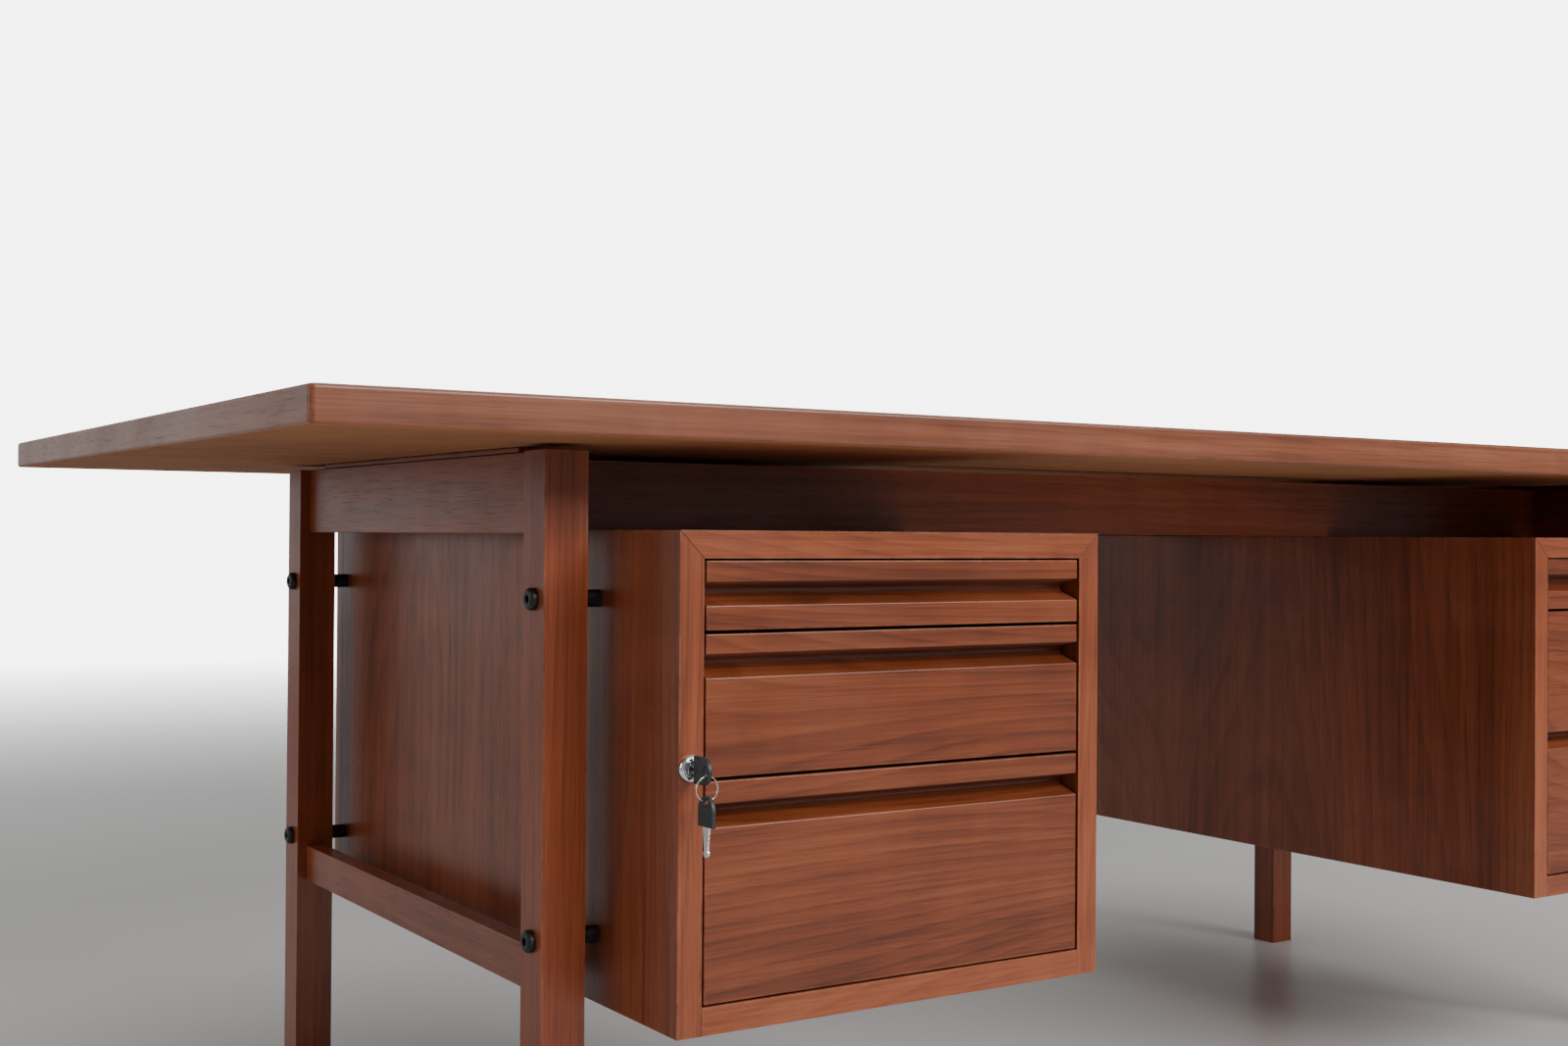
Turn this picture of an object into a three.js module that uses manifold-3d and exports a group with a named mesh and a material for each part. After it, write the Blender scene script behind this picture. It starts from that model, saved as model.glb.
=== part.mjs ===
// Executive writing desk: a thin desktop floats over two leg frames, and a drawer pedestal
// hangs from each frame on black bolts and spacers.
// Units are millimetres. X runs along the desk, -Y is the sitter's side, +Z is up.
// Inside this file x is measured from the desk's middle, y from the desktop's front edge
// and z from the floor; the group is shifted at the end so that its origin is the middle
// of the whole object's footprint.

import * as THREE from 'three';
import { mergeVertices } from 'three/addons/utils/BufferGeometryUtils.js';
import Module from 'manifold-3d';

const wasm = await Module();
wasm.setup();

// ---- driving dimensions -------------------------------------------------------------

const GAP = 0.3; // left between pieces that touch

const DESKTOP = { width: 2080, depth: 1070, thickness: 29.5, edge: 3.5, top: 740 };

const LEG = { size: 40, inset: 238, frontY: 120, backY: 747, height: 705 };
const RAIL = { setBack: 10, thickness: 20, bottom: 635.5, top: 705 };
const STRETCHER = { bottom: 249, top: 287 };
const APRON = { inset: 174, thickness: 20 };
const BATTEN = { width: 14, inset: 40 };

const HANG = { gap: 20, boltHeights: [297, 581] };
const BOLT = {
  headRadius: 9.5, headHeight: 6, rimHeight: 3.8, crownRadius: 7, socketRadius: 3.8, socketDepth: 4,
  shankRadius: 4, bite: 15, chamfer: 1,
};
const SPACER = { radius: 7.5 };
const BOLT_HOLE = BOLT.shankRadius + GAP;

const PEDESTAL = { depth: 797, bottom: 238.5, height: 400.5, board: 22.5, back: 20 };
const DRAWER = {
  inset: 0.5, frontThickness: 28, sideClearance: 2, boxClearance: 5, boxLength: 560,
  wall: 12, floor: 8, boxRaise: 6,
};
const GROOVE = { depth: 22.5, bottomRadius: 4, bottomBelowLip: 8.2 };
const RUNNER = { width: 14, height: 12, start: 30, end: 700, slack: 0.5 };

// Heights from the top of the opening down. "lip" is the part of the front above its
// finger groove, "groove" the groove's height, and "box" the height of the box behind.
const PENCIL = { name: 'pencil', height: 56, lip: 17, groove: 19, box: 34 };
const MIDDLE = { name: 'middle', height: 114.5, lip: 16, groove: 19, box: 88 };
const DEEP = { name: 'deep', height: 177, lip: 18, groove: 19, box: 150 };
const FILE = { name: 'file', height: 294, lip: 135, groove: 19, box: 250 };
const DRAWER_GAPS = { ends: 1.5, between: 2.5 };

const LEFT = { name: 'left', side: -1, width: 440, drawers: [PENCIL, MIDDLE, DEEP] };
const RIGHT = { name: 'right', side: 1, width: 392, drawers: [PENCIL, FILE] };

const LOCK = {
  height: 451, plateRadius: 11, plateProud: 5, rimHeight: 2, crownRadius: 8.8, crownHeight: 4.2,
  grooveOuter: 8.2, grooveInner: 7.4, grooveDepth: 1.6, collarRadius: 6.9,
  barrelRadius: 8, barrelLength: 28, plugRadius: 5.2, plugClearance: 0.4, plugRecess: 0.6, chamfer: 0.4,
};
const KEY = {
  headWidth: 22, headLength: 24, headThickness: 3.6, holeWidth: 9, holeLength: 5, holeFromTip: 5.5,
  bladeWidth: 8.4, bladeLength: 24, bladeThickness: 2.2, straight: 4, neckWidth: 5, tipRadius: 3.4,
  overlap: 2, standOff: 1.5,
};
const RING = { radius: 9.7, wire: 0.8, rest: 0.35 };

// ---- finishes -----------------------------------------------------------------------

const FINISHES = {
  topWood: { color: 0x8f5a44, roughness: 0.35, metalness: 0 },
  frameWood: { color: 0x6b3826, roughness: 0.4, metalness: 0 },
  panelWood: { color: 0x6a3320, roughness: 0.38, metalness: 0 },
  frontWood: { color: 0x8c4e32, roughness: 0.35, metalness: 0 },
  boxWood: { color: 0xb98a5e, roughness: 0.6, metalness: 0 },
  blackMetal: { color: 0x141312, roughness: 0.45, metalness: 0.6 },
  chrome: { color: 0xd6d8da, roughness: 0.12, metalness: 1 },
  nickel: { color: 0xc6c0b2, roughness: 0.25, metalness: 1 },
  blackPlastic: { color: 0x16171a, roughness: 0.5, metalness: 0 },
};

const desk = new THREE.Group();

function add(name, finish, geometry) {
  const mesh = new THREE.Mesh(geometry, new THREE.MeshStandardMaterial(FINISHES[finish]));
  mesh.name = name;
  desk.add(mesh);
  return mesh;
}

// ---- geometry helpers ---------------------------------------------------------------

function block([x0, x1], [y0, y1], [z0, z1]) {
  const geometry = new THREE.BoxGeometry(x1 - x0, y1 - y0, z1 - z0);
  return geometry.translate((x0 + x1) / 2, (y0 + y1) / 2, (z0 + z1) / 2);
}

// A prism whose section is drawn in the given plane and swept from one coordinate to the
// other: section axes (u, v) and the sweep axis make a right-handed set.
function prism(section, from, to, u, v, sweep) {
  const shape = section instanceof THREE.Shape ? section : outline(section);
  const options = { depth: to - from, bevelEnabled: false, curveSegments: 12 };
  const geometry = new THREE.ExtrudeGeometry(shape, options).translate(0, 0, from);
  return geometry.applyMatrix4(new THREE.Matrix4().makeBasis(u, v, sweep));
}

const AXIS_X = new THREE.Vector3(1, 0, 0);
const AXIS_Y = new THREE.Vector3(0, 1, 0);
const AXIS_Z = new THREE.Vector3(0, 0, 1);
const TOWARDS_FRONT = new THREE.Vector3(0, -1, 0);

// Section in (y, z), swept along x.
function prismAlongX(section, [x0, x1]) {
  return prism(section, x0, x1, AXIS_Y, AXIS_Z, AXIS_X);
}

// Section in (x, z), swept along y.
function prismAlongY(section, [y0, y1]) {
  return prism(section, -y1, -y0, AXIS_X, AXIS_Z, TOWARDS_FRONT);
}

function outline(points) {
  return new THREE.Shape(points.map(([a, b]) => new THREE.Vector2(a, b)));
}

function roundHole(a, b, radius) {
  return new THREE.Path().absarc(a, b, radius, 0, 2 * Math.PI, true);
}

// A turned piece about the x axis: profile points are [radius, distance along x].
function turnedAboutX(profile, segments = 32) {
  const points = profile.map(([radius, along]) => new THREE.Vector2(radius, along));
  return new THREE.LatheGeometry(points, segments).rotateZ(-Math.PI / 2);
}

// The same about the y axis.
function turnedAboutY(profile, segments = 32) {
  const points = profile.map(([radius, along]) => new THREE.Vector2(radius, along));
  return new THREE.LatheGeometry(points, segments);
}

function toSolid(geometry) {
  const bare = geometry.clone();
  bare.deleteAttribute('normal');
  bare.deleteAttribute('uv');
  const merged = mergeVertices(bare);
  const vertProperties = new Float32Array(merged.attributes.position.array);
  const triVerts = new Uint32Array(merged.index.array);
  return new wasm.Manifold(new wasm.Mesh({ numProp: 3, vertProperties, triVerts }));
}

function toGeometry(solid) {
  const { vertProperties, triVerts } = solid.getMesh();
  const geometry = new THREE.BufferGeometry();
  geometry.setAttribute('position', new THREE.BufferAttribute(vertProperties, 3));
  geometry.setIndex(new THREE.BufferAttribute(triVerts, 1));
  geometry.computeVertexNormals();
  return geometry;
}

function cut(geometry, tools) {
  return toGeometry(tools.reduce((rest, tool) => rest.subtract(toSolid(tool)), toSolid(geometry)));
}

function join(first, second) {
  return toGeometry(toSolid(first).add(toSolid(second)));
}

// ---- desktop ------------------------------------------------------------------------

function makeDesktop() {
  const { width, depth, thickness, edge, top } = DESKTOP;
  const cornerRadius = 1.5;
  const x = width / 2 - edge;
  const y0 = edge;
  const y1 = depth - edge;
  const shape = new THREE.Shape();
  shape.absarc(x - cornerRadius, y1 - cornerRadius, cornerRadius, 0, Math.PI / 2);
  shape.absarc(-x + cornerRadius, y1 - cornerRadius, cornerRadius, Math.PI / 2, Math.PI);
  shape.absarc(-x + cornerRadius, y0 + cornerRadius, cornerRadius, Math.PI, 1.5 * Math.PI);
  shape.absarc(x - cornerRadius, y0 + cornerRadius, cornerRadius, 1.5 * Math.PI, 2 * Math.PI);
  const slab = new THREE.ExtrudeGeometry(shape, {
    depth: thickness - 2 * edge, bevelThickness: edge, bevelSize: edge, bevelSegments: 4, curveSegments: 4,
  });
  add('desktop', 'topWood', slab).position.z = top - thickness + edge;
}

// ---- leg frames ---------------------------------------------------------------------

const legOuterX = DESKTOP.width / 2 - LEG.inset;
const legInnerX = legOuterX - LEG.size;
const railOuterX = legOuterX - RAIL.setBack;
const railInnerX = railOuterX - RAIL.thickness;
const underside = DESKTOP.top - DESKTOP.thickness;

// The span [near, far] from the desk's middle, on the side given by -1 or +1.
function mirrored(side, near, far) {
  return side < 0 ? [-far, -near] : [near, far];
}

function makeLegFrame({ name, side }) {
  const legX = mirrored(side, legInnerX, legOuterX);
  for (const [place, y] of [['front', LEG.frontY], ['back', LEG.backY]]) {
    const section = outline([[y, 0], [y + LEG.size, 0], [y + LEG.size, LEG.height], [y, LEG.height]]);
    section.holes = HANG.boltHeights.map((z) => roundHole(y + LEG.size / 2, z, BOLT_HOLE));
    add(`leg_${place}_${name}`, 'frameWood', prismAlongX(section, legX));
  }
  const railX = mirrored(side, railInnerX, railOuterX);
  const railY = [LEG.frontY + LEG.size + GAP, LEG.backY - GAP];
  add(`side_rail_${name}`, 'frameWood', block(railX, railY, [RAIL.bottom, RAIL.top]));
  add(`stretcher_${name}`, 'frameWood', block(railX, railY, [STRETCHER.bottom, STRETCHER.top]));

  const middle = (railInnerX + railOuterX) / 2;
  const battenX = mirrored(side, middle - BATTEN.width / 2, middle + BATTEN.width / 2);
  const battenY = [railY[0] + BATTEN.inset, railY[1] - BATTEN.inset];
  add(`top_batten_${name}`, 'frameWood', block(battenX, battenY, [RAIL.top + GAP, underside - GAP]));
}

function makeAprons() {
  const reach = railInnerX - GAP;
  const frontY = LEG.frontY + APRON.inset;
  const backY = LEG.backY + LEG.size - APRON.inset - APRON.thickness;
  const bottom = PEDESTAL.bottom + PEDESTAL.height + GAP;
  for (const [place, y] of [['front', frontY], ['back', backY]]) {
    const geometry = block([-reach, reach], [y, y + APRON.thickness], [bottom, RAIL.top]);
    add(`apron_${place}`, 'frameWood', geometry);
  }
}

// ---- bolts and spacers that carry the pedestals -------------------------------------

// Turned pieces are drawn pointing along +x, from the leg's outer face (0) inwards. The
// bolt has a low domed head with a hexagon socket.
function boltGeometry() {
  const { headRadius, headHeight, rimHeight, crownRadius, socketRadius, socketDepth } = BOLT;
  const { shankRadius, bite, chamfer } = BOLT;
  const length = LEG.size + HANG.gap + bite;
  const bolt = turnedAboutX([
    [0, -headHeight - GAP],
    [crownRadius, -headHeight - GAP],
    [(crownRadius + headRadius) / 2, -(headHeight + rimHeight) / 2 - chamfer / 2],
    [headRadius, -rimHeight],
    [headRadius, -GAP],
    [shankRadius, -GAP],
    [shankRadius, length - chamfer],
    [shankRadius - chamfer, length],
    [0, length],
  ], 24);
  const socket = new THREE.CylinderGeometry(socketRadius, socketRadius, 2 * socketDepth, 6);
  return cut(bolt, [socket.rotateZ(Math.PI / 2).translate(-headHeight - GAP, 0, 0)]);
}

function spacerGeometry() {
  const from = LEG.size + GAP;
  const to = LEG.size + HANG.gap - GAP;
  return turnedAboutX([
    [BOLT_HOLE, from],
    [SPACER.radius, from],
    [SPACER.radius, to],
    [BOLT_HOLE, to],
    [BOLT_HOLE, from],
  ], 24);
}

function makeHangers({ name, side }) {
  for (const [place, legY] of [['front', LEG.frontY], ['back', LEG.backY]]) {
    HANG.boltHeights.forEach((z, index) => {
      const level = ['lower', 'upper'][index];
      const bolt = add(`bolt_${name}_${place}_${level}`, 'blackMetal', boltGeometry());
      const spacer = add(`spacer_${name}_${place}_${level}`, 'blackMetal', spacerGeometry());
      for (const piece of [bolt, spacer]) {
        piece.position.set(side * legOuterX, legY + LEG.size / 2, z);
        piece.rotation.z = side < 0 ? 0 : Math.PI;
      }
    });
  }
}

// ---- pedestals ----------------------------------------------------------------------

const pedestalOuterX = legInnerX - HANG.gap;
const lockY = -LOCK.plateProud; // the escutcheon's front face
const lockX = -(pedestalOuterX - PEDESTAL.board / 2);

// Tools for the holes in a pedestal's outer side board, in desk coordinates.
function hangerBores(side) {
  const tools = [];
  for (const legY of [LEG.frontY, LEG.backY]) {
    for (const z of HANG.boltHeights) {
      const depth = BOLT.bite + 2 * GAP;
      const bore = new THREE.CylinderGeometry(BOLT_HOLE, BOLT_HOLE, 2 * depth, 24).rotateZ(Math.PI / 2);
      tools.push(bore.translate(side * pedestalOuterX, legY + LEG.size / 2, z));
    }
  }
  return tools;
}

function lockBore() {
  const radius = LOCK.barrelRadius + GAP;
  const depth = LOCK.barrelLength + 2;
  const bore = new THREE.CylinderGeometry(radius, radius, 2 * depth, 32);
  return bore.translate(lockX, 0, LOCK.height);
}

function makePedestal({ name, side, width, drawers }) {
  const { depth, bottom, height, board, back } = PEDESTAL;
  const [x0, x1] = mirrored(side, pedestalOuterX - width, pedestalOuterX);
  const top = bottom + height;
  const boardY = [0, depth - back - GAP];

  // Side boards run the full height and meet the top board in a mitre.
  const seam = GAP / 2;
  const leftSide = [[x0, bottom], [x0 + board, bottom], [x0 + board, top - board - seam], [x0, top - seam]];
  const rightSide = leftSide.map(([x, z]) => [x0 + x1 - x, z]).reverse();
  const boards = { left: prismAlongY(leftSide, boardY), right: prismAlongY(rightSide, boardY) };
  const outer = side < 0 ? 'left' : 'right';
  const inner = side < 0 ? 'right' : 'left';
  const bores = hangerBores(side);
  if (side < 0) bores.push(lockBore());
  add(`pedestal_${name}_outer_side`, 'panelWood', cut(boards[outer], bores));
  add(`pedestal_${name}_inner_side`, 'panelWood', boards[inner]);

  const inside = board + GAP;
  const topBoard = [
    [x0 + GAP, top], [x0 + inside, top - board],
    [x1 - inside, top - board], [x1 - GAP, top],
  ];
  add(`pedestal_${name}_top`, 'panelWood', prismAlongY(topBoard, boardY));
  const openingX = [x0 + board, x1 - board];
  const floorX = [openingX[0] + GAP, openingX[1] - GAP];
  add(`pedestal_${name}_bottom`, 'panelWood', block(floorX, boardY, [bottom, bottom + board]));
  add(`pedestal_${name}_back`, 'panelWood', block([x0, x1], [depth - back, depth], [bottom, top]));

  let frontTop = top - board - DRAWER_GAPS.ends;
  drawers.forEach((drawer, index) => {
    const isLowest = index === drawers.length - 1;
    makeDrawer(name, drawer, openingX, frontTop);
    if (!isLowest) makeRunners(name, drawer, openingX, frontTop - drawer.height);
    frontTop -= drawer.height + DRAWER_GAPS.between;
  });
}

// The front's section in (y, z): a plain board with a finger groove ploughed along it. The
// groove's two slopes start at the lip's edge and at its own lower edge, and both touch its
// round bottom.
function drawerFrontSection({ height, lip, groove }, frontTop) {
  const y0 = DRAWER.inset;
  const y1 = y0 + DRAWER.frontThickness;
  const bottom = frontTop - height;
  const lipZ = frontTop - lip;
  const lowerZ = lipZ - groove;

  const radius = GROOVE.bottomRadius;
  const centreY = y0 + GROOVE.depth - radius;
  const centreZ = lipZ - GROOVE.bottomBelowLip;
  const touchAngle = (edgeZ, turn) => {
    const towardsEdge = Math.atan2(edgeZ - centreZ, y0 - centreY);
    return towardsEdge + turn * Math.acos(radius / Math.hypot(y0 - centreY, edgeZ - centreZ));
  };
  const shape = new THREE.Shape();
  shape.moveTo(y0, frontTop);
  shape.lineTo(y0, lipZ);
  shape.absarc(centreY, centreZ, radius, touchAngle(lipZ, -1), touchAngle(lowerZ, 1), true);
  shape.lineTo(y0, lowerZ);
  shape.lineTo(y0, bottom);
  shape.lineTo(y1, bottom);
  shape.lineTo(y1, frontTop);
  return shape;
}

function makeDrawer(pedestal, drawer, openingX, frontTop) {
  const { sideClearance, boxClearance, boxLength, boxRaise, wall, floor } = DRAWER;
  const name = `drawer_${pedestal}_${drawer.name}`;
  const frontX = [openingX[0] + sideClearance, openingX[1] - sideClearance];
  add(`${name}_front`, 'frontWood', prismAlongX(drawerFrontSection(drawer, frontTop), frontX));

  const bottom = frontTop - drawer.height + boxRaise;
  const x = [openingX[0] + boxClearance, openingX[1] - boxClearance];
  const y0 = DRAWER.inset + DRAWER.frontThickness + GAP;
  const y = [y0, y0 + boxLength];
  const body = block(x, y, [bottom, bottom + drawer.box]);
  const inside = block(
    [x[0] + wall, x[1] - wall],
    [y[0] + wall, y[1] - wall],
    [bottom + floor, bottom + drawer.box + wall],
  );
  add(`${name}_box`, 'boxWood', cut(body, [inside]));
}

function makeRunners(pedestal, drawer, openingX, frontBottom) {
  const top = frontBottom + DRAWER.boxRaise - RUNNER.slack;
  const z = [top - RUNNER.height, top];
  const y = [RUNNER.start, RUNNER.end];
  const near = openingX[0] + GAP;
  const far = openingX[1] - GAP;
  const stem = `runner_${pedestal}_${drawer.name}`;
  add(`${stem}_left`, 'boxWood', block([near, near + RUNNER.width], y, z));
  add(`${stem}_right`, 'boxWood', block([far - RUNNER.width, far], y, z));
}

// ---- lock and keys ------------------------------------------------------------------

// Lock pieces are drawn with y = 0 at the escutcheon's front. A groove runs round its
// face between a domed crown and the raised collar about the plug.
function makeLock() {
  const { plateRadius, plateProud, rimHeight, crownRadius, crownHeight, chamfer } = LOCK;
  const { grooveOuter, grooveInner, grooveDepth, collarRadius, barrelRadius, barrelLength } = LOCK;
  const { plugRadius, plugClearance, plugRecess } = LOCK;
  const bore = plugRadius + plugClearance;
  const barrelEnd = plateProud + barrelLength;
  const housing = turnedAboutY([
    [bore, chamfer],
    [bore + chamfer, 0],
    [collarRadius, 0],
    [grooveInner, grooveDepth],
    [grooveOuter, grooveDepth],
    [crownRadius, plateProud - crownHeight],
    [(crownRadius + plateRadius) / 2, plateProud - crownHeight + chamfer],
    [plateRadius, plateProud - rimHeight],
    [plateRadius, plateProud - GAP],
    [barrelRadius, plateProud - GAP],
    [barrelRadius, barrelEnd],
    [bore, barrelEnd],
    [bore, chamfer],
  ], 48);
  add('lock_housing', 'chrome', housing).position.set(lockX, lockY, LOCK.height);

  const plug = turnedAboutY([
    [0, plugRecess],
    [plugRadius - chamfer, plugRecess],
    [plugRadius, plugRecess + chamfer],
    [plugRadius, barrelEnd],
    [0, barrelEnd],
  ]);
  const slotWidth = KEY.bladeThickness / 2 + GAP;
  const slotHeight = KEY.bladeWidth / 2 + GAP;
  const slot = block([-slotWidth, slotWidth], [-1, KEY.bladeLength], [-slotHeight, slotHeight]);
  add('lock_plug', 'chrome', cut(plug, [slot])).position.set(lockX, lockY, LOCK.height);
}

// A key drawn in the (y, z) plane with its blade pointing along +y. y = 0 is the shoulder
// between the head and the blade. The head's far end is a half round with a wide hole, and
// the blade narrows to a neck before its round tip.
function keyGeometry() {
  const { headWidth, headLength, headThickness, bladeWidth, bladeLength, bladeThickness } = KEY;
  const { straight, neckWidth, tipRadius, overlap } = KEY;
  const radius = headWidth / 2;
  const head = new THREE.Shape();
  head.moveTo(0, -radius);
  head.lineTo(0, radius);
  head.lineTo(radius - headLength, radius);
  head.absarc(radius - headLength, 0, radius, Math.PI / 2, 1.5 * Math.PI, false);
  head.lineTo(0, -radius);

  const holeY = KEY.holeFromTip - headLength;
  const holeEnd = KEY.holeLength / 2;
  const holeSide = KEY.holeWidth / 2 - holeEnd;
  const hole = new THREE.Path();
  hole.absarc(holeY, holeSide, holeEnd, 0, Math.PI, false);
  hole.absarc(holeY, -holeSide, holeEnd, Math.PI, 2 * Math.PI, false);
  head.holes.push(hole);

  const half = bladeWidth / 2;
  const neckAngle = Math.PI - Math.asin(neckWidth / 2 / tipRadius);
  const blade = new THREE.Shape();
  blade.moveTo(-overlap, half);
  blade.lineTo(-overlap, -half);
  blade.lineTo(straight, -half);
  blade.absarc(bladeLength - tipRadius, 0, tipRadius, -neckAngle, neckAngle, false);
  blade.lineTo(straight, half);
  return join(
    prismAlongX(head, [-headThickness / 2, headThickness / 2]),
    prismAlongX(blade, [-bladeThickness / 2, bladeThickness / 2]),
  );
}

// Returns how far forward the keys reach.
function makeKeys() {
  const shoulderY = lockY - KEY.standOff;
  const ringY = shoulderY - KEY.headLength + KEY.holeFromTip;
  const hang = RING.wire + RING.rest;
  const ringTop = LOCK.height - KEY.holeWidth / 2 + hang;
  const ringBottom = ringTop - 2 * RING.radius;
  const spareHole = ringBottom + hang - KEY.holeLength / 2;

  add('key', 'blackPlastic', keyGeometry()).position.set(lockX, shoulderY, LOCK.height);

  const ring = new THREE.TorusGeometry(RING.radius, RING.wire, 8, 40).rotateX(Math.PI / 2);
  add('key_ring', 'nickel', ring).position.set(lockX, ringY, (ringTop + ringBottom) / 2);

  const spare = add('spare_key', 'blackPlastic', keyGeometry());
  spare.rotation.x = -Math.PI / 2;
  spare.position.set(lockX, ringY, spareHole + KEY.holeFromTip - KEY.headLength);
  return ringY - KEY.headWidth / 2;
}

// ---- assembly -----------------------------------------------------------------------

makeDesktop();
makeAprons();
for (const pedestal of [LEFT, RIGHT]) {
  makeLegFrame(pedestal);
  makeHangers(pedestal);
  makePedestal(pedestal);
}
makeLock();

// The spare key's head is the foremost point; the origin is the middle of the whole footprint.
const foremostY = makeKeys();
desk.position.y = -(foremostY + DESKTOP.depth) / 2;

export default desk;
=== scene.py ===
"""Looks for the executive writing desk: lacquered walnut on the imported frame, with a chrome
lock, moulded key heads and black socket-head bolts. Everything is in metres in the row frame,
apart from the keys and the ring, which are drawn in millimetres."""

import math

import bmesh
import bpy
from mathutils import Matrix, Vector


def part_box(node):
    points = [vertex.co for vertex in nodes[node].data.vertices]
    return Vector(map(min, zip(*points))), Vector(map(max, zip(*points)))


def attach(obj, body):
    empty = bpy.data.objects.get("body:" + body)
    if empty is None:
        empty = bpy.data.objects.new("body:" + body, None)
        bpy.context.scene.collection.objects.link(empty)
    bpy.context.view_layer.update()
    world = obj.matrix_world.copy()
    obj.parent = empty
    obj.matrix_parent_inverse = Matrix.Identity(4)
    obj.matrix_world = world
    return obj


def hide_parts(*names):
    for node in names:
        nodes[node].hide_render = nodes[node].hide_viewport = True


MM = 0.001

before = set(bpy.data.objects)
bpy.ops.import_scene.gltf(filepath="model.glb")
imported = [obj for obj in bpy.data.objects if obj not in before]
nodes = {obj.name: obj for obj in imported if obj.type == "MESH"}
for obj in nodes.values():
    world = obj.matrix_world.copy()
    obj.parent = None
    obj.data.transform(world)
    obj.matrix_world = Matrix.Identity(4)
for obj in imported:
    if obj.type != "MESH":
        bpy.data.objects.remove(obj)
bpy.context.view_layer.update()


# ---- camera --------------------------------------------------------------------------

CAMERA_PLACE = (-1.452, -1.764, 0.634)
CAMERA_TURN = 32.91    # degrees to the right of the desk's depth
CAMERA_PITCH = 0.44    # degrees upwards
CAMERA_ROLL = 0.39     # degrees
CAMERA_LENS = 41.87    # mm
CAMERA_SENSOR = 36     # mm


def make_camera():
    data = bpy.data.cameras.new("camera")
    data.lens = CAMERA_LENS
    data.sensor_width = CAMERA_SENSOR
    data.clip_start = 0.05
    camera = bpy.data.objects.new("camera", data)
    bpy.context.scene.collection.objects.link(camera)
    turn = Matrix.Rotation(math.radians(-CAMERA_TURN), 4, "Z")
    tilt = Matrix.Rotation(math.radians(90 + CAMERA_PITCH), 4, "X")
    roll = Matrix.Rotation(math.radians(CAMERA_ROLL), 4, "Z")
    camera.matrix_world = Matrix.Translation(CAMERA_PLACE) @ turn @ tilt @ roll
    bpy.context.scene.camera = camera


# ---- node helpers --------------------------------------------------------------------

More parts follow.
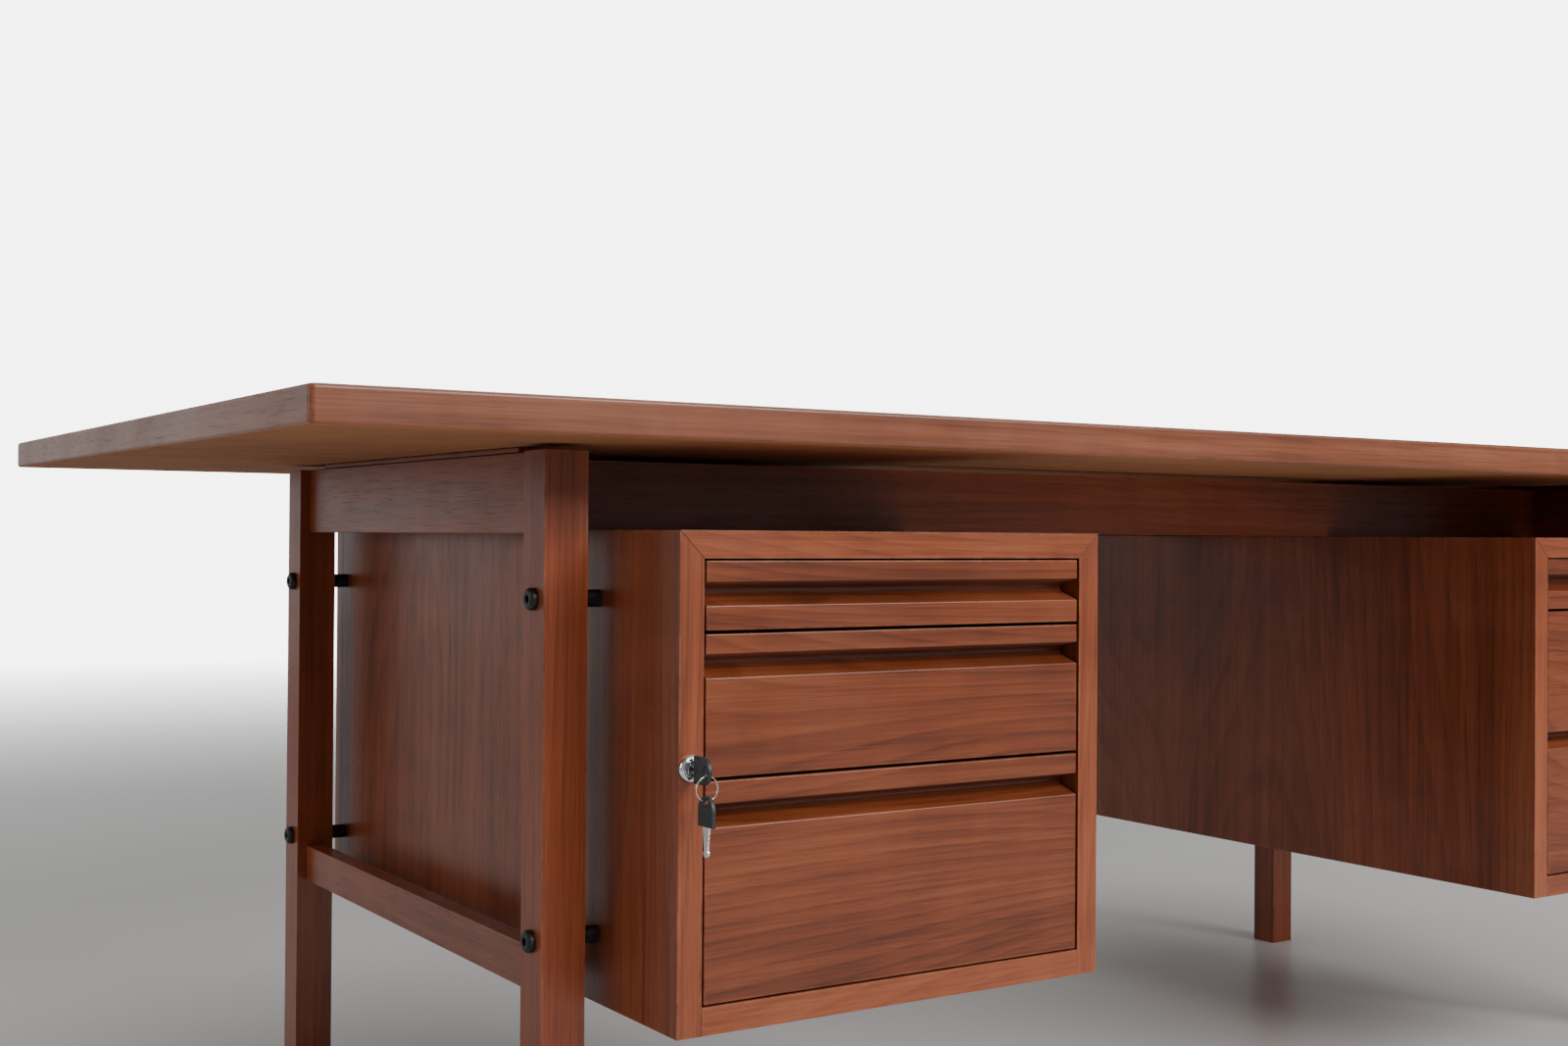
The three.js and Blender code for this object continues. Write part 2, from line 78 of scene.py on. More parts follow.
class Tree:
    """A material's node tree with short calls for the nodes used here. A call's inputs are
    numbers, colours or other nodes' outputs."""

    def __init__(self, name):
        self.material = bpy.data.materials.new(name)
        self.material.use_nodes = True
        self.tree = self.material.node_tree
        self.shader = self.tree.nodes["Principled BSDF"]

    def put(self, socket, value):
        if isinstance(value, bpy.types.NodeSocket):
            self.tree.links.new(value, socket)
        else:
            socket.default_value = value

    def shade(self, socket, value):
        """Sets one of the shader's own inputs."""
        self.put(self.shader.inputs[socket], value)

    def node(self, kind, **settings):
        made = self.tree.nodes.new(kind)
        for key, value in settings.items():
            setattr(made, key, value)
        return made

    def math(self, operation, a, b=0.0, c=0.0):
        made = self.node("ShaderNodeMath", operation=operation)
        for socket, value in zip(made.inputs, (a, b, c)):
            self.put(socket, value)
        return made.outputs[0]

    def split(self, vector):
        made = self.node("ShaderNodeSeparateXYZ")
        self.put(made.inputs[0], vector)
        return made.outputs

    def combine(self, x, y, z):
        made = self.node("ShaderNodeCombineXYZ")
        for socket, value in zip(made.inputs, (x, y, z)):
            self.put(socket, value)
        return made.outputs[0]

    def noise(self, vector, rate, detail=2.0, roughness=0.5):
        """Noise that changes at the rate, per metre, along all three axes or each with its own."""
        rates = rate if isinstance(rate, tuple) else (rate, rate, rate)
        scaled = self.node("ShaderNodeVectorMath", operation="MULTIPLY")
        self.put(scaled.inputs[0], vector)
        self.put(scaled.inputs[1], rates)
        made = self.node("ShaderNodeTexNoise")
        self.put(made.inputs["Vector"], scaled.outputs[0])
        self.put(made.inputs["Scale"], 1.0)
        self.put(made.inputs["Detail"], detail)
        self.put(made.inputs["Roughness"], roughness)
        return made.outputs[0]

    def ramp(self, value, stops, interpolation="LINEAR"):
        """stops are (place, colour or grey) from low to high."""
        made = self.node("ShaderNodeValToRGB")
        made.color_ramp.interpolation = interpolation
        elements = made.color_ramp.elements
        while len(elements) < len(stops):
            elements.new(0.5)
        for element, (place, colour) in zip(elements, stops):
            element.position = place
            element.color = (colour, colour, colour, 1) if isinstance(colour, float) else (*colour, 1)
        self.put(made.inputs[0], value)
        return made.outputs[0]

    def between(self, value, low, high, to_low=0.0, to_high=1.0):
        """Maps low..high to to_low..to_high, and holds the end values beyond."""
        made = self.node("ShaderNodeMapRange")
        made.clamp = True
        for socket, number in zip(made.inputs, (value, low, high, to_low, to_high)):
            self.put(socket, number)
        return made.outputs[0]

    def mix(self, factor, a, b):
        """Mixes two colours. Each is a triple or another node's output."""
        made = self.node("ShaderNodeMix", data_type="RGBA", blend_type="MIX")
        made.clamp_result = True
        self.put(made.inputs["Factor"], factor)
        for socket, colour in ((made.inputs[6], a), (made.inputs[7], b)):
            self.put(socket, (*colour, 1) if isinstance(colour, tuple) else colour)
        return made.outputs[2]

    def switch(self, factor, off, on):
        made = self.node("ShaderNodeMix", data_type="FLOAT")
        self.put(made.inputs["Factor"], factor)
        self.put(made.inputs[2], off)
        self.put(made.inputs[3], on)
        return made.outputs[0]

    def bump(self, height, strength, distance):
        made = self.node("ShaderNodeBump")
        self.put(made.inputs["Strength"], strength)
        self.put(made.inputs["Distance"], distance)
        self.put(made.inputs["Height"], height)
        self.shade("Normal", made.outputs[0])

    def place(self):
        return self.node("ShaderNodeTexCoord").outputs["Object"]

    def normal(self):
        return self.split(self.node("ShaderNodeNewGeometry").outputs["Normal"])

    def edge_mask(self, low, high, width):
        """1 along the edges of the box from low to high and 0 elsewhere."""
        near = []
        for value, start, end in zip(self.split(self.place()), low, high):
            from_start = self.math("SUBTRACT", value, start)
            from_end = self.math("SUBTRACT", end, value)
            near.append(self.math("MINIMUM", from_start, from_end))
        # A point is on an edge where it is close to the box's sides in two of the directions.
        lower = self.math("MINIMUM", near[0], near[1])
        upper = self.math("MAXIMUM", near[0], near[1])
        second = self.math("MAXIMUM", lower, self.math("MINIMUM", upper, near[2]))
        return self.between(second, 0.0, width, 1.0, 0.0)


def blend(a, b, share):
    return tuple(x + (y - x) * share for x, y in zip(a, b))


# ---- wood ----------------------------------------------------------------------------

# Each tone is (dark line, body, light streak) as linear colours.
TONES = {
    "desktop": ((0.055, 0.013, 0.006), (0.185, 0.057, 0.026), (0.260, 0.094, 0.047)),
    "frame": ((0.070, 0.012, 0.004), (0.215, 0.046, 0.015), (0.280, 0.070, 0.024)),
    "pedestal": ((0.062, 0.013, 0.005), (0.209, 0.051, 0.019), (0.282, 0.083, 0.033)),
    "front": ((0.052, 0.011, 0.004), (0.152, 0.035, 0.012), (0.210, 0.057, 0.021)),
    "box": ((0.180, 0.080, 0.030), (0.360, 0.185, 0.075), (0.450, 0.260, 0.120)),
}

# The undersides are painted paler and more orange by a share of this colour, as painted bounce light from
# the floor, and have only a thin matt coat.
UNDERSIDE = (0.52, 0.225, 0.080)
UNDERSIDE_SHARE = {"desktop": 0.65, "frame": 0.0, "pedestal": 0.2, "front": 0.0, "box": 0.0}
UNDERSIDE_MATTING = 0.50    # added roughness
TOP_MATTING = 0.24          # the same for the desktop's upper face, against glare; a guess

LACQUER_ROUGHNESS = 0.30
VARNISH_ROUGHNESS = 0.45
LACQUER_IOR = 1.44

# The axes along the grain, across it and into the board.
GRAIN_AXES = {"x": (0, 1, 2), "y": (1, 0, 2), "z": (2, 0, 1)}
GRAIN_SHIFT = 7.0       # how far apart in the wood two boards may be cut

# Each noise is (rate along the grain, rate across it, detail, roughness), with rates per metre.
WOOD_NOISE = {
    "wander": (0.9, 3.2, 1.0, 0.40),
    "ripple": (5.0, 60.0, 2.0, 0.50),
    "streak": (1.3, 85.0, 4.0, 0.62),
    "fine": (7.0, 520.0, 3.0, 0.65),
    "pore": (30.0, 1300.0, 1.0, 0.50),
    "mottle": (26.0, 9.0, 2.0, 0.50),
}
FLAME_RATE = (2.6, 17.0, 1.0)

# Growth rings stand around a pith line under the board, which wanders as the tree grew.
RINGS_PER_METRE = 96.0
WANDER = 0.30
RIPPLE = 0.003
PITH_ASIDE = 0.06
PITH_DEPTH, PITH_DEPTH_SPREAD = 0.05, 0.04

# How much each layer moves the shade. Those of the figured ones grow with a board's figure.
LAYER_WEIGHTS = {"ring_line": 0.15, "streak": 0.44, "fine": 0.42, "flame": 0.64, "mottle": 0.16}
FIGURED = ("ring_line", "flame")
PORE_DARKNESS = 0.45

# Edges are rubbed lighter in patches.
RUB_WIDTH = 2.4 * MM
RUB_SHARE = 0.38
RUBBED_WOOD = (0.6, 0.36, 0.2)


def scatter(seed, turn, start=0.0):
    """A number from -1 to 1 that differs from board to board."""
    return math.sin(seed * turn + start)


def grain_axes(t, place, normal, grain, edge_grain):
    """Distances along the grain, across it and into the board. edge_grain is the grain on the
    faces that look along x, where it isn't the same."""
    axes = [t.split(place)[i] for i in GRAIN_AXES[grain]]
    if edge_grain:
        side = t.math("GREATER_THAN", t.math("ABSOLUTE", normal[0]), 0.6)
        others = [t.split(place)[i] for i in GRAIN_AXES[edge_grain]]
        axes = [t.switch(side, axis, other) for axis, other in zip(axes, others)]
    return axes


def wood_layers(t, axes, seed, figure):
    """The wood's layers as values around 0.5, by name: growth rings cut by the surface, long
    soft streaks, fine fibres, short pores, and the figure where fibres wave."""
    along, across, depth = axes
    shift = [GRAIN_SHIFT * scatter(seed, 12.9, 4.1 * i) for i in range(3)]
    cut = t.combine(*(t.math("ADD", axis, by) for axis, by in zip(axes, shift)))
    layers = {}
    for name, (along_rate, across_rate, detail, roughness) in WOOD_NOISE.items():
        layers[name] = t.noise(cut, (along_rate, across_rate, across_rate), detail, roughness)

    u = t.math("ADD", across, PITH_ASIDE * scatter(seed, 7.7))
    w = t.math("ADD", depth, PITH_DEPTH + PITH_DEPTH_SPREAD * abs(scatter(seed, 3.3)))
    radius = t.math("SQRT", t.math("ADD", t.math("MULTIPLY", u, u), t.math("MULTIPLY", w, w)))
    wander = t.math("MULTIPLY", t.math("SUBTRACT", layers["wander"], 0.5), WANDER * figure)
    ripple = t.math("MULTIPLY", t.math("SUBTRACT", layers["ripple"], 0.5), RIPPLE)
    rings = t.math("ADD", t.math("ADD", radius, wander), ripple)
    band = t.math("FRACT", t.math("MULTIPLY", rings, RINGS_PER_METRE))
    layers["ring_line"] = t.ramp(band, [(0.0, 0.20), (0.60, 0.50), (0.86, 0.90), (1.0, 0.20)], "EASE")
    layers["flame"] = t.noise(t.combine(along, rings, shift[0]), FLAME_RATE)
    return layers


def wood_shade(t, layers, figure):
    """How dark the wood is, around 0.5."""
    shade = 0.5
    for name, weight in LAYER_WEIGHTS.items():
        if name in FIGURED:
            weight *= figure
        shade = t.math("MULTIPLY_ADD", t.math("SUBTRACT", layers[name], 0.5), weight, shade)
    return shade


def rubbed(t, place, box, colour, light):
    """The colour with the box's edges rubbed lighter."""
    worn = t.noise(place, 55.0, 3.0, 0.6)
    rub = t.math("MULTIPLY", t.edge_mask(*box, RUB_WIDTH), t.between(worn, 0.42, 0.66))
    return t.mix(t.math("MULTIPLY", rub, RUB_SHARE), colour, blend(light, RUBBED_WOOD, 0.25))


def wood(name, tone, grain, seed, figure, roughness=LACQUER_ROUGHNESS, box=None, edge_grain=None):
    """Lacquered or varnished wood in one of the tones, with its grain along an axis. box is the
    board's box, where its edges are rubbed."""
    t = Tree(name)
    dark, body, light = TONES[tone]
    place = t.place()
    normal = t.normal()
    layers = wood_layers(t, grain_axes(t, place, normal, grain, edge_grain), seed, figure)
    shade = wood_shade(t, layers, figure)
    pores = t.between(layers["pore"], 0.60, 0.72)
    under = t.between(normal[2], -0.9, -0.7, 1.0, 0.0)

    colour = t.ramp(shade, [(0.28, light), (0.48, body), (0.66, blend(body, dark, 0.60)), (0.85, dark)])
    colour = t.mix(t.math("MULTIPLY", pores, PORE_DARKNESS), colour, dark)
    if box:
        colour = rubbed(t, place, box, colour, light)
    # Painted bounce light: faces looking down are mixed towards a paler, more orange colour.
    painted_bounce = t.ramp(shade, [(0.34, UNDERSIDE), (0.50, blend(UNDERSIDE, body, 0.25)), (0.74, body)])
    colour = t.mix(t.math("MULTIPLY", under, UNDERSIDE_SHARE[tone]), colour, painted_bounce)
    t.shade("Base Color", colour)

    smudge = t.noise(place, 7.0, 4.0, 0.6)
    rough = t.between(smudge, 0.25, 0.75, roughness - 0.05, roughness + 0.08)
    rough = t.math("MULTIPLY_ADD", under, UNDERSIDE_MATTING, rough)
    if tone == "desktop":
        upper = t.between(normal[2], 0.7, 0.9)
        rough = t.math("MULTIPLY_ADD", upper, TOP_MATTING, rough)
    t.shade("Roughness", t.math("ADD", rough, t.math("MULTIPLY", pores, 0.12)))
    t.shade("IOR", LACQUER_IOR)
    relief = t.math("ADD", t.math("MULTIPLY", layers["fine"], 0.25), t.math("MULTIPLY", pores, -0.75))
    t.bump(relief, 0.22, 0.12 * MM)
    return t.material


# ---- metals and plastic --------------------------------------------------------------

def metal(name, colour, roughness, scratch):
    """Plated metal with finger marks and fine scratches. scratch is the scratches' strength."""
    t = Tree(name)
    place = t.place()
    marks = t.noise(place, 420.0, 4.0, 0.6)
    lines = t.noise(place, (300.0, 2600.0, 300.0), 2.0, 0.7)
    duller = tuple(channel * 0.82 for channel in colour)
    t.shade("Base Color", t.mix(t.between(marks, 0.35, 0.75), colour, duller))
    t.shade("Metallic", 1.0)
    t.shade("Roughness", t.between(marks, 0.3, 0.75, roughness, roughness + 0.14))
    t.bump(t.math("ADD", t.math("MULTIPLY", lines, 0.6), marks), scratch, 0.03 * MM)
    return t.material


def black_oxide(name):
    """Half matt black on steel, greyer where fingers and a hex key have rubbed it."""
    t = Tree(name)
    place = t.place()
    grit = t.noise(place, 1500.0, 3.0, 0.6)
    patch = t.noise(place, 190.0, 3.0, 0.6)
    t.shade("Base Color", t.mix(t.between(patch, 0.45, 0.75), (0.010, 0.010, 0.011), (0.034, 0.032, 0.031)))
    t.shade("Metallic", 0.35)
    t.shade("Roughness", t.between(grit, 0.2, 0.8, 0.36, 0.52))
    t.bump(grit, 0.25, 0.05 * MM)
    return t.material


def moulded_plastic(name):
    """Black plastic with a fine moulded texture and a little dust."""
    t = Tree(name)
    place = t.place()
    texture = t.noise(place, 2200.0)
    dust = t.noise(place, 240.0, 4.0, 0.65)
    t.shade("Base Color", t.mix(t.between(dust, 0.5, 0.8), (0.011, 0.012, 0.016), (0.040, 0.041, 0.046)))
    t.shade("Roughness", t.between(dust, 0.3, 0.7, 0.38, 0.56))
    t.bump(texture, 0.35, 0.04 * MM)
    return t.material


# ---- dressing the CAD nodes ----------------------------------------------------------

WELD_DISTANCE = 0.002 * MM
SHARP_ANGLE = 40    # degrees; sharper edges are rounded and stay sharp in shading
FLAT_ANGLE = 0.5    # degrees between faces that count as one flat face


def dress(name, material, rounding=0.0, segments=3):
    """Gives a CAD node its material, and rounds its sharp edges without moving its faces."""
    piece = nodes[name]
    piece.data.materials.clear()
    piece.data.materials.append(material)
    weld = piece.modifiers.new("weld", "WELD")
    weld.merge_threshold = WELD_DISTANCE
    if rounding:
        # Slivers of triangles between holes would spoil the rounding.
        flat = piece.modifiers.new("flat_faces_joined", "DECIMATE")
        flat.decimate_type = "DISSOLVE"
        flat.angle_limit = math.radians(FLAT_ANGLE)
        rounded(piece, rounding, segments)
    smoothed(piece, SHARP_ANGLE)


def rounded(piece, width, segments):
    rounding = piece.modifiers.new("rounding", "BEVEL")
    rounding.width = width
    rounding.segments = segments
    rounding.limit_method = "ANGLE"
    rounding.angle_limit = math.radians(SHARP_ANGLE)
    rounding.harden_normals = False


def smoothed(piece, angle):
    """Smooth shading, apart from edges sharper than the angle, with large faces kept flat."""
    with_smooth = piece.modifiers.new("smooth", "NODES")
    with_smooth.node_group = smooth_group(angle)
    weighted = piece.modifiers.new("flat_faces", "WEIGHTED_NORMAL")
    weighted.keep_sharp = True
    weighted.weight = 100


def smooth_group(angle):
    """Geometry nodes that mark all faces as smooth, and edges up to the angle."""
    name = f"smooth_{angle}"
    if name in bpy.data.node_groups:
        return bpy.data.node_groups[name]
    group = bpy.data.node_groups.new(name, "GeometryNodeTree")
    group.interface.new_socket("Geometry", in_out="INPUT", socket_type="NodeSocketGeometry")
    group.interface.new_socket("Geometry", in_out="OUTPUT", socket_type="NodeSocketGeometry")
    add = group.nodes.new
    start, end = add("NodeGroupInput"), add("NodeGroupOutput")
    faces, edges = add("GeometryNodeSetShadeSmooth"), add("GeometryNodeSetShadeSmooth")
    faces.domain, edges.domain = "FACE", "EDGE"
    faces.inputs["Shade Smooth"].default_value = True
    edge_angle, compare = add("GeometryNodeInputMeshEdgeAngle"), add("FunctionNodeCompare")
    compare.operation = "LESS_THAN"
    compare.inputs[1].default_value = math.radians(angle)
    link = group.links.new
    link(edge_angle.outputs["Unsigned Angle"], compare.inputs[0])
    link(compare.outputs[0], edges.inputs["Shade Smooth"])
    link(start.outputs[0], faces.inputs["Geometry"])
    link(faces.outputs[0], edges.inputs["Geometry"])
    link(edges.outputs[0], end.inputs[0])
    return group


def linked(name, mesh, material):
    """A new object in the scene, in one material."""
    mesh.materials.clear()
    mesh.materials.append(material)
    piece = bpy.data.objects.new(name, mesh)
    bpy.context.scene.collection.objects.link(piece)
    return piece


def list_boards():
    """All wooden nodes as (node, tone, grain, slot, figure, rounding in mm)."""
    boards = [("desktop", "desktop", "x", "desktop_wood", 0.45, 0.0)]
    for place in ("front", "back"):
        boards.append((f"apron_{place}", "frame", "x", "frame_wood", 0.6, 0.0))
    for side in ("left", "right"):
        for place in ("front", "back"):
            boards.append((f"leg_{place}_{side}", "frame", "z", "frame_wood", 0.5, 1.3))
        for kind in ("side_rail", "stretcher", "top_batten"):
            boards.append((f"{kind}_{side}", "frame", "y", "frame_wood", 0.6, 1.0))
        for kind, grain in (
            ("outer_side", "z"), ("inner_side", "z"), ("top", "x"), ("bottom", "x"), ("back", "z"),
        ):
            boards.append((f"pedestal_{side}_{kind}", "pedestal", grain, "pedestal_wood", 0.8, 0.3))
    for name in sorted(nodes):
        if name.startswith("drawer_") and name.endswith("_front"):
            boards.append((name, "front", "x", "drawer_front_wood", 1.2, 1.2))
        elif name.startswith("drawer_"):
            boards.append((name, "box", "y", "drawer_box_wood", 0.5, 0.8))
        elif name.startswith("runner_"):
            boards.append((name, "box", "y", "drawer_box_wood", 0.4, 0.8))
    return boards


def dress_wood():
    """Every board has its own cut of the wood."""
    for seed, (name, tone, grain, slot, figure, rounding) in enumerate(list_boards(), start=1):
        edge_grain = "y" if name == "desktop" else None
        roughness = VARNISH_ROUGHNESS if tone == "box" else LACQUER_ROUGHNESS
        material = wood(f"{name}_wood", tone, grain, seed, figure, roughness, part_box(name), edge_grain)
        dress(name, material, rounding * MM)


def dress_hardware():
    black = black_oxide("black_oxide")
    chrome = metal("chrome_plate", (0.80, 0.81, 0.83), roughness=0.05, scratch=0.10)
    for name in sorted(nodes):
        if name.startswith(("bolt_", "spacer_")):
            dress(name, black, rounding=0.25 * MM, segments=2)
    for name in ("lock_housing", "lock_plug"):
        dress(name, chrome, rounding=0.12 * MM, segments=2)


# ---- keys and ring -------------------------------------------------------------------

# A key is drawn along +X in mm, flat in the XY plane, with its shoulder at the origin.
KEY_BLADE = {
    "half": 4.2, "length": 24.0, "straight": 4.0, "neck": 2.5, "tip": 3.4, "thickness": 2.2,
    "notches": 4, "notch_depth": 0.5, "groove": 1.3, "groove_depth": 0.45, "edge": 0.25,
}
KEY_HEAD = {"rounding": 0.7, "hole_width": 9.0, "hole_length": 5.0, "hole_from_tip": 5.5}
BLADE_STATIONS = 64
TIP_CROWDING = 1.4      # above 1, the stations stand closer together at the tip
TIP_CUT = 0.05          # the last station stops short of the very tip
SEAM = 0.02             # points closer than this are joined

# The split ring's wire goes round nearly twice, and steps from turn to turn at the crossing.
RING = {"turns": 1.94, "points": 120, "start_degrees": 200, "crossing": 0.12}


def arc(centre, radius, start, end, steps=14):
    """Points of an arc in degrees, both ends included."""
    angles = [math.radians(start + (end - start) * i / steps) for i in range(steps + 1)]
    return [(centre[0] + radius * math.cos(a), centre[1] + radius * math.sin(a)) for a in angles]


def slab(name, outlines, thickness, rounding):
    """A flat mesh in the XY plane with rounded edges, from closed outlines."""
    curve = bpy.data.curves.new(name, "CURVE")
    curve.dimensions = "2D"
    curve.fill_mode = "BOTH"
    curve.extrude = thickness / 2 - rounding
    curve.bevel_depth = rounding
    curve.bevel_resolution = 3
    curve.offset = -rounding
    for points in outlines:
        spline = curve.splines.new("POLY")
        spline.points.add(len(points) - 1)
        for point, (x, y) in zip(spline.points, points):
            point.co = (x, y, 0, 1)
        spline.use_cyclic_u = True
    return meshed(name, curve)


def meshed(name, curve):
    """A curve's mesh with its seams closed."""
    holder = bpy.data.objects.new(name, curve)
    bpy.context.scene.collection.objects.link(holder)
    graph = bpy.context.evaluated_depsgraph_get()
    mesh = bpy.data.meshes.new_from_object(holder.evaluated_get(graph))
    bpy.data.objects.remove(holder)
    bpy.data.curves.remove(curve)
    work = bmesh.new()
    work.from_mesh(mesh)
    bmesh.ops.remove_doubles(work, verts=work.verts, dist=SEAM)
    return finished(name, work, mesh)


def finished(name, work, mesh=None):
    """Writes a bmesh to a mesh, with its faces looking outwards."""
    mesh = mesh or bpy.data.meshes.new(name)
    bmesh.ops.recalc_face_normals(work, faces=work.faces)
    work.to_mesh(mesh)
    work.free()
    mesh.name = name
    return mesh


def key_head(width, length, thickness):
    """A head with a half round far end and a wide hole near it."""
    radius = width / 2
    end = radius - length
    outline = [(0, -radius), (0, radius), *arc((end, 0), radius, 90, 270)]
    hole_x = KEY_HEAD["hole_from_tip"] - length
    hole_radius = KEY_HEAD["hole_length"] / 2
    side = KEY_HEAD["hole_width"] / 2 - hole_radius
    hole = arc((hole_x, side), hole_radius, 0, 180) + arc((hole_x, -side), hole_radius, 180, 360)
    return slab("key_head", [outline, hole], thickness, KEY_HEAD["rounding"])


def key_half_width(along):
    """Half the blade's width: wide at the shoulder, notched down to a neck, and a round tip."""
    half, neck, tip, straight = (KEY_BLADE[name] for name in ("half", "neck", "tip", "straight"))
    centre = KEY_BLADE["length"] - tip
    neck_at = centre - math.sqrt(tip ** 2 - neck ** 2)
    if along >= neck_at:
        return math.sqrt(max(tip ** 2 - (along - centre) ** 2, 0.0))
    if along <= straight:
        return half
    share = (along - straight) / (neck_at - straight)
    wave = (1 - math.cos(2 * math.pi * KEY_BLADE["notches"] * share)) / 2
    return half + (neck - half) * share - KEY_BLADE["notch_depth"] * wave * (1 - share)


def blade_section(half):
    """The blade's cross section as (y, z) points, with a groove along each face."""
    flat = KEY_BLADE["thickness"] / 2
    groove = min(KEY_BLADE["groove"], half * 0.45)
    floor = groove * 0.6
    sunk = flat - KEY_BLADE["groove_depth"]
    edge = min(KEY_BLADE["edge"], half * 0.3)
    upper = [
        (-half, flat - edge), (-half + edge, flat), (-groove, flat), (-floor, sunk),
        (floor, sunk), (groove, flat), (half - edge, flat), (half, flat - edge),
    ]
    return upper + [(-y, -z) for y, z in upper]


def key_blade():
    work = bmesh.new()
    end = KEY_BLADE["length"] - TIP_CUT
    rings = []
    for i in range(BLADE_STATIONS + 1):
        along = end * (1 - (1 - i / BLADE_STATIONS) ** TIP_CROWDING)
        section = blade_section(key_half_width(along))
        rings.append([work.verts.new((along, y, z)) for y, z in section])
    for before, after in zip(rings, rings[1:]):
        for i in range(len(before)):
            j = (i + 1) % len(before)
            work.faces.new((before[i], before[j], after[j], after[i]))
    for ring in (rings[0], rings[-1]):
        work.faces.new(ring)
    bmesh.ops.triangulate(work, faces=[face for face in work.faces if len(face.verts) > 4])
    return finished("key_blade", work)


def add_piece(name, mesh, placing, material, body, smooth, replaced=None):
    """Adds a mesh drawn in mm, put in its place in metres."""
    mesh.transform(placing @ Matrix.Scale(MM, 4))
    piece = linked(name, mesh, material)
    smoothed(piece, smooth)
    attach(piece, body)
    if replaced:
        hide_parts(replaced)


def key_placing(name, low, high):
    """Places a key's drawing: its shoulder is at the box's middle, and its x runs to the tip."""
    along, across = {
        "key": (Vector((0, 1, 0)), Vector((0, 0, 1))),
        "spare_key": (Vector((0, 0, -1)), Vector((0, 1, 0))),
    }[name]
    turn = Matrix((along, across, along.cross(across))).transposed()
    return Matrix.Translation((Vector(low) + Vector(high)) / 2) @ turn.to_4x4()


def make_keys(nickel):
    """The key heads and blades, in the places and to the sizes of their CAD nodes."""
    plastic = moulded_plastic("key_plastic")
    for name, body in (("key", "lock_plug"), ("spare_key", "spare_key")):
        low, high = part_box(name)
        thickness, width, length = sorted((b - a) / MM for a, b in zip(low, high))
        placing = key_placing(name, low, high)
        head = key_head(width, length - KEY_BLADE["length"], thickness)
        add_piece(f"{name}_head", head, placing, plastic, body, 35, replaced=name)
        add_piece(f"{name}_blade", key_blade(), placing, nickel, body, 30)


def make_ring(material):
    """A split ring: two turns of wire side by side, with one step from turn to turn."""
    low, high = (Vector(corner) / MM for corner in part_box("key_ring"))
    wire = (high.y - low.y) / 4
    radius = (high.x - low.x) / 2 - 2 * wire
    curve = bpy.data.curves.new("ring_path", "CURVE")
    curve.dimensions = "3D"
    curve.bevel_depth = wire
    curve.bevel_resolution = 3
    curve.use_fill_caps = True
    spline = curve.splines.new("POLY")
    spline.points.add(RING["points"])
    for i, point in enumerate(spline.points):
        turned = RING["turns"] * i / RING["points"]
        angle = math.radians(RING["start_degrees"]) + 2 * math.pi * turned
        crossing = (turned - RING["turns"] / 2) / RING["crossing"] + 0.5
        crossing = min(max(crossing, 0.0), 1.0)
        step = crossing * crossing * (3 - 2 * crossing)
        point.co = (radius * math.cos(angle), wire * (2 * step - 1), radius * math.sin(angle), 1)
    placing = Matrix.Translation((low + high) / 2 * MM)
    add_piece("split_ring", meshed("split_ring", curve), placing, material, "key_ring", 60,
              replaced="key_ring")


# ---- shade beads ---------------------------------------------------------------------

BEAD = {
    "width": 30 * MM, "height": 1.2 * MM, "inset": 3 * MM, "lift": 0.01 * MM, "clear": 0.2 * MM,
    "rounding": 0.2 * MM,
}
BEAD_SEED = 71


def bead_mesh(low, high):
    work = bmesh.new()
    size = high - low
    placing = Matrix.Translation((low + high) / 2) @ Matrix.Diagonal((*size, 1))
    bmesh.ops.create_cube(work, size=1.0, matrix=placing)
    return finished("bead", work)


def make_beads():
    """Low wooden beads on the pedestals' tops, along their inner edges. The photo doesn't show
    them: they stand in for the shade in the slit under the aprons, keep the bright backdrop from
    showing through it, and stop just short of the aprons."""
    material = wood("bead_wood", "pedestal", "y", BEAD_SEED, 0.5)
    front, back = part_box("apron_front"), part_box("apron_back")
    for side in ("left", "right"):
        low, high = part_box(f"pedestal_{side}_top")
        reaches = {
            "front": (front[1][1] + BEAD["clear"], back[0][1] - BEAD["clear"]),
            "back": (back[1][1] + BEAD["clear"], high[1] - BEAD["inset"]),
        }
        if side == "left":
            start_x = high[0] - BEAD["inset"] - BEAD["width"]
        else:
            start_x = low[0] + BEAD["inset"]
        bottom = high[2] + BEAD["lift"]
        for name, (start_y, end_y) in reaches.items():
            near = Vector((start_x, start_y, bottom))
            far = Vector((start_x + BEAD["width"], end_y, bottom + BEAD["height"]))
            # Each bead is put where there is only shade, to keep the slit under the apron dark.
            piece = linked(f"shade_bead_{side}_{name}", bead_mesh(near, far), material)
            rounded(piece, BEAD["rounding"], 2)
            smoothed(piece, SHARP_ANGLE)
            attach(piece, "desk")


# ---- stage ---------------------------------------------------------------------------

FLOOR_HALF = 14.0
FADE_START, FADE_END = 1.6, 7.5     # distances from the desk's middle
FADE_POWER = 2.6

ROOM_LIGHT = 0.33
BACKDROP_LIGHT = 6.0

# Each softbox is (place, target, (width, height), watts).
SOFTBOXES = {
    "key": ((0.7, -3.5, 2.5), (-0.3, -0.5, 0.4), (3.2, 1.5), 205),
    "overhead": ((0.0, 0.4, 3.2), (0.0, 0.0, 0.7), (3.4, 2.4), 60),
    "side": ((-4.2, 0.6, 1.6), (-0.6, 0.0, 0.4), (1.6, 1.6), 25),
    "wall": ((-2.3, 3.7, 1.2), (-0.6, 0.0, 0.5), (2.8, 2.0), 7),
}


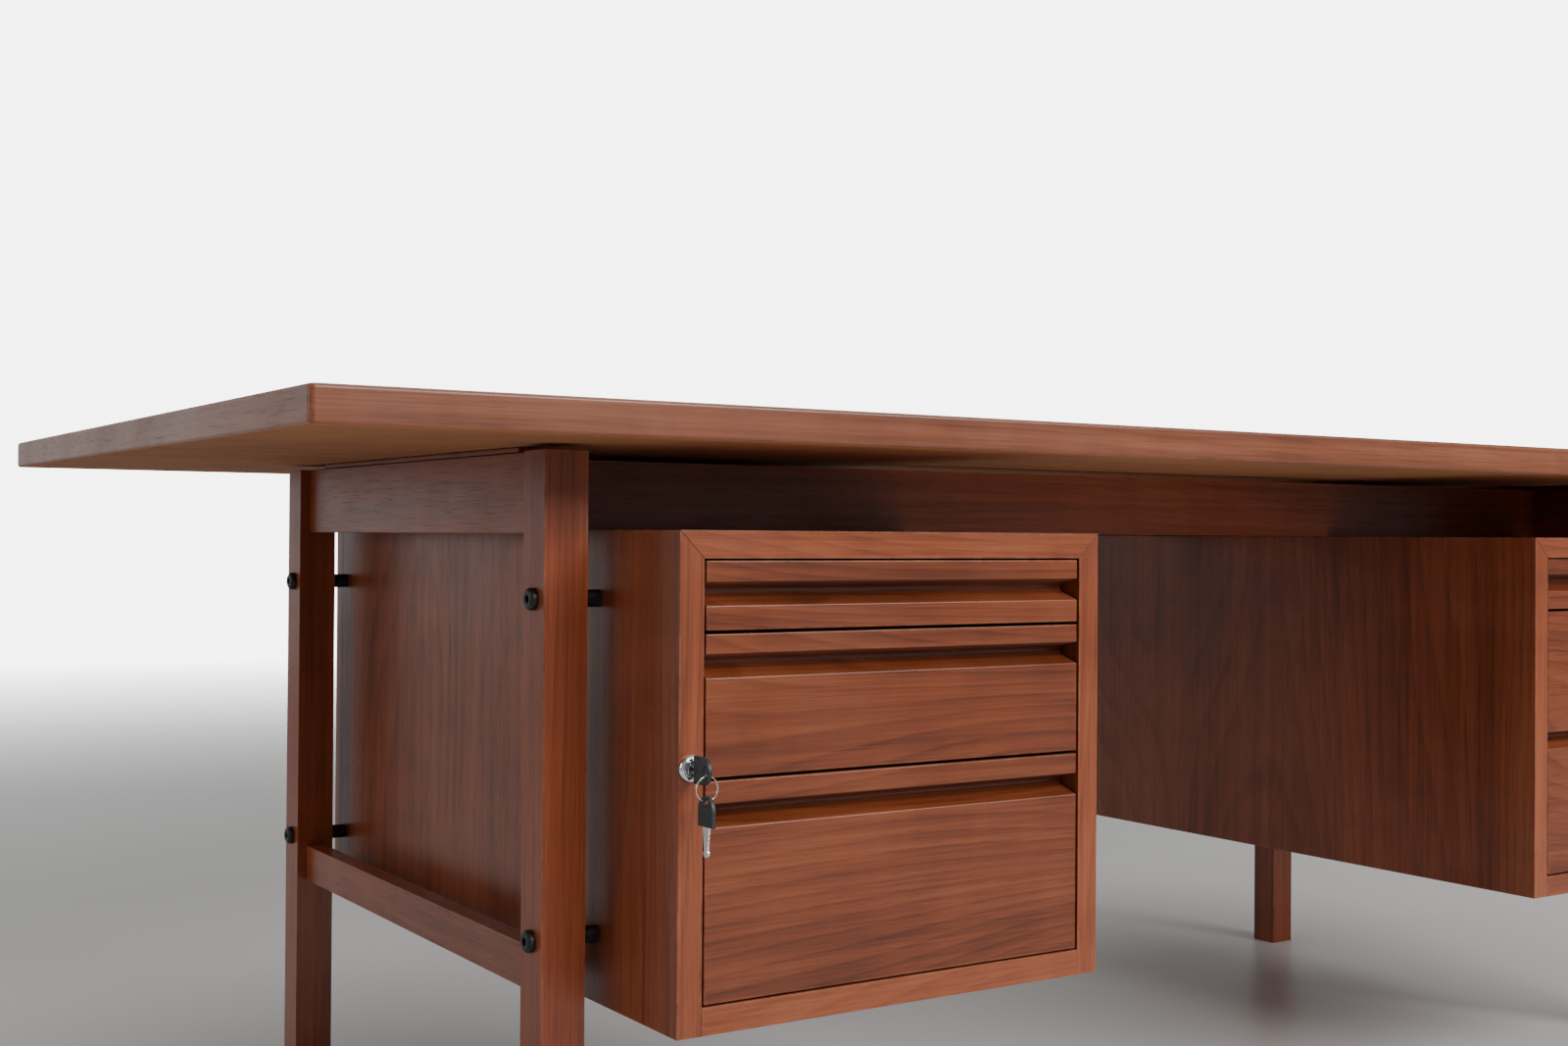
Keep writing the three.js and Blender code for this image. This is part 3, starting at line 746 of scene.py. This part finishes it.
def floor_material():
    """Smooth pale grey in soft blotches, which fades out with distance."""
    t = Tree("pale_floor")
    place = t.place()
    far = t.node("ShaderNodeVectorMath", operation="LENGTH")
    t.put(far.inputs[0], place)
    share = t.between(far.outputs["Value"], FADE_START, FADE_END)
    t.shade("Alpha", t.math("SUBTRACT", 1.0, t.math("POWER", share, FADE_POWER)))
    blotch = t.between(t.noise(place, 1.1), 0.3, 0.7)
    t.shade("Base Color", t.mix(blotch, (0.48, 0.47, 0.46), (0.53, 0.52, 0.51)))
    t.shade("Roughness", t.between(blotch, 0.0, 1.0, 0.32, 0.36))
    return t.material


def make_floor():
    """A pale floor that fades into the white background around the desk."""
    mesh = bpy.data.meshes.new("floor")
    corners = [(x * FLOOR_HALF, y * FLOOR_HALF, 0) for x, y in ((-1, -1), (1, -1), (1, 1), (-1, 1))]
    mesh.from_pydata(corners, [], [(0, 1, 2, 3)])
    mesh.materials.append(floor_material())
    floor = bpy.data.objects.new("floor", mesh)
    bpy.context.scene.collection.objects.link(floor)


def make_world():
    """Camera rays see a bright white backdrop. All other rays, which light the desk and show in
    its reflections, get a softer room."""
    world = bpy.data.worlds.new("studio")
    bpy.context.scene.world = world
    world.use_nodes = True
    tree = world.node_tree
    room = tree.nodes["Background"]
    backdrop, seen = tree.nodes.new("ShaderNodeBackground"), tree.nodes.new("ShaderNodeLightPath")
    both = tree.nodes.new("ShaderNodeMixShader")
    for shader, strength in ((room, ROOM_LIGHT), (backdrop, BACKDROP_LIGHT)):
        shader.inputs["Color"].default_value = (1.0, 1.0, 1.0, 1)
        shader.inputs["Strength"].default_value = strength
    tree.links.new(seen.outputs["Is Camera Ray"], both.inputs["Fac"])
    tree.links.new(room.outputs[0], both.inputs[1])
    tree.links.new(backdrop.outputs[0], both.inputs[2])
    tree.links.new(both.outputs[0], tree.nodes["World Output"].inputs["Surface"])


def make_softboxes():
    for name, (place, target, (width, height), power) in SOFTBOXES.items():
        data = bpy.data.lights.new(name, "AREA")
        data.shape = "RECTANGLE"
        data.size, data.size_y = width, height
        data.energy = power
        light = bpy.data.objects.new(name, data)
        bpy.context.scene.collection.objects.link(light)
        light.location = place
        aim = Vector(target) - Vector(place)
        light.rotation_euler = aim.to_track_quat("-Z", "Y").to_euler()


# ---- assembly ------------------------------------------------------------------------

make_camera()
dress_wood()
dress_hardware()
nickel_plate = metal("nickel_plate", (0.74, 0.71, 0.64), roughness=0.16, scratch=0.25)
make_keys(nickel_plate)
make_ring(nickel_plate)
make_beads()
make_floor()
make_world()
make_softboxes()
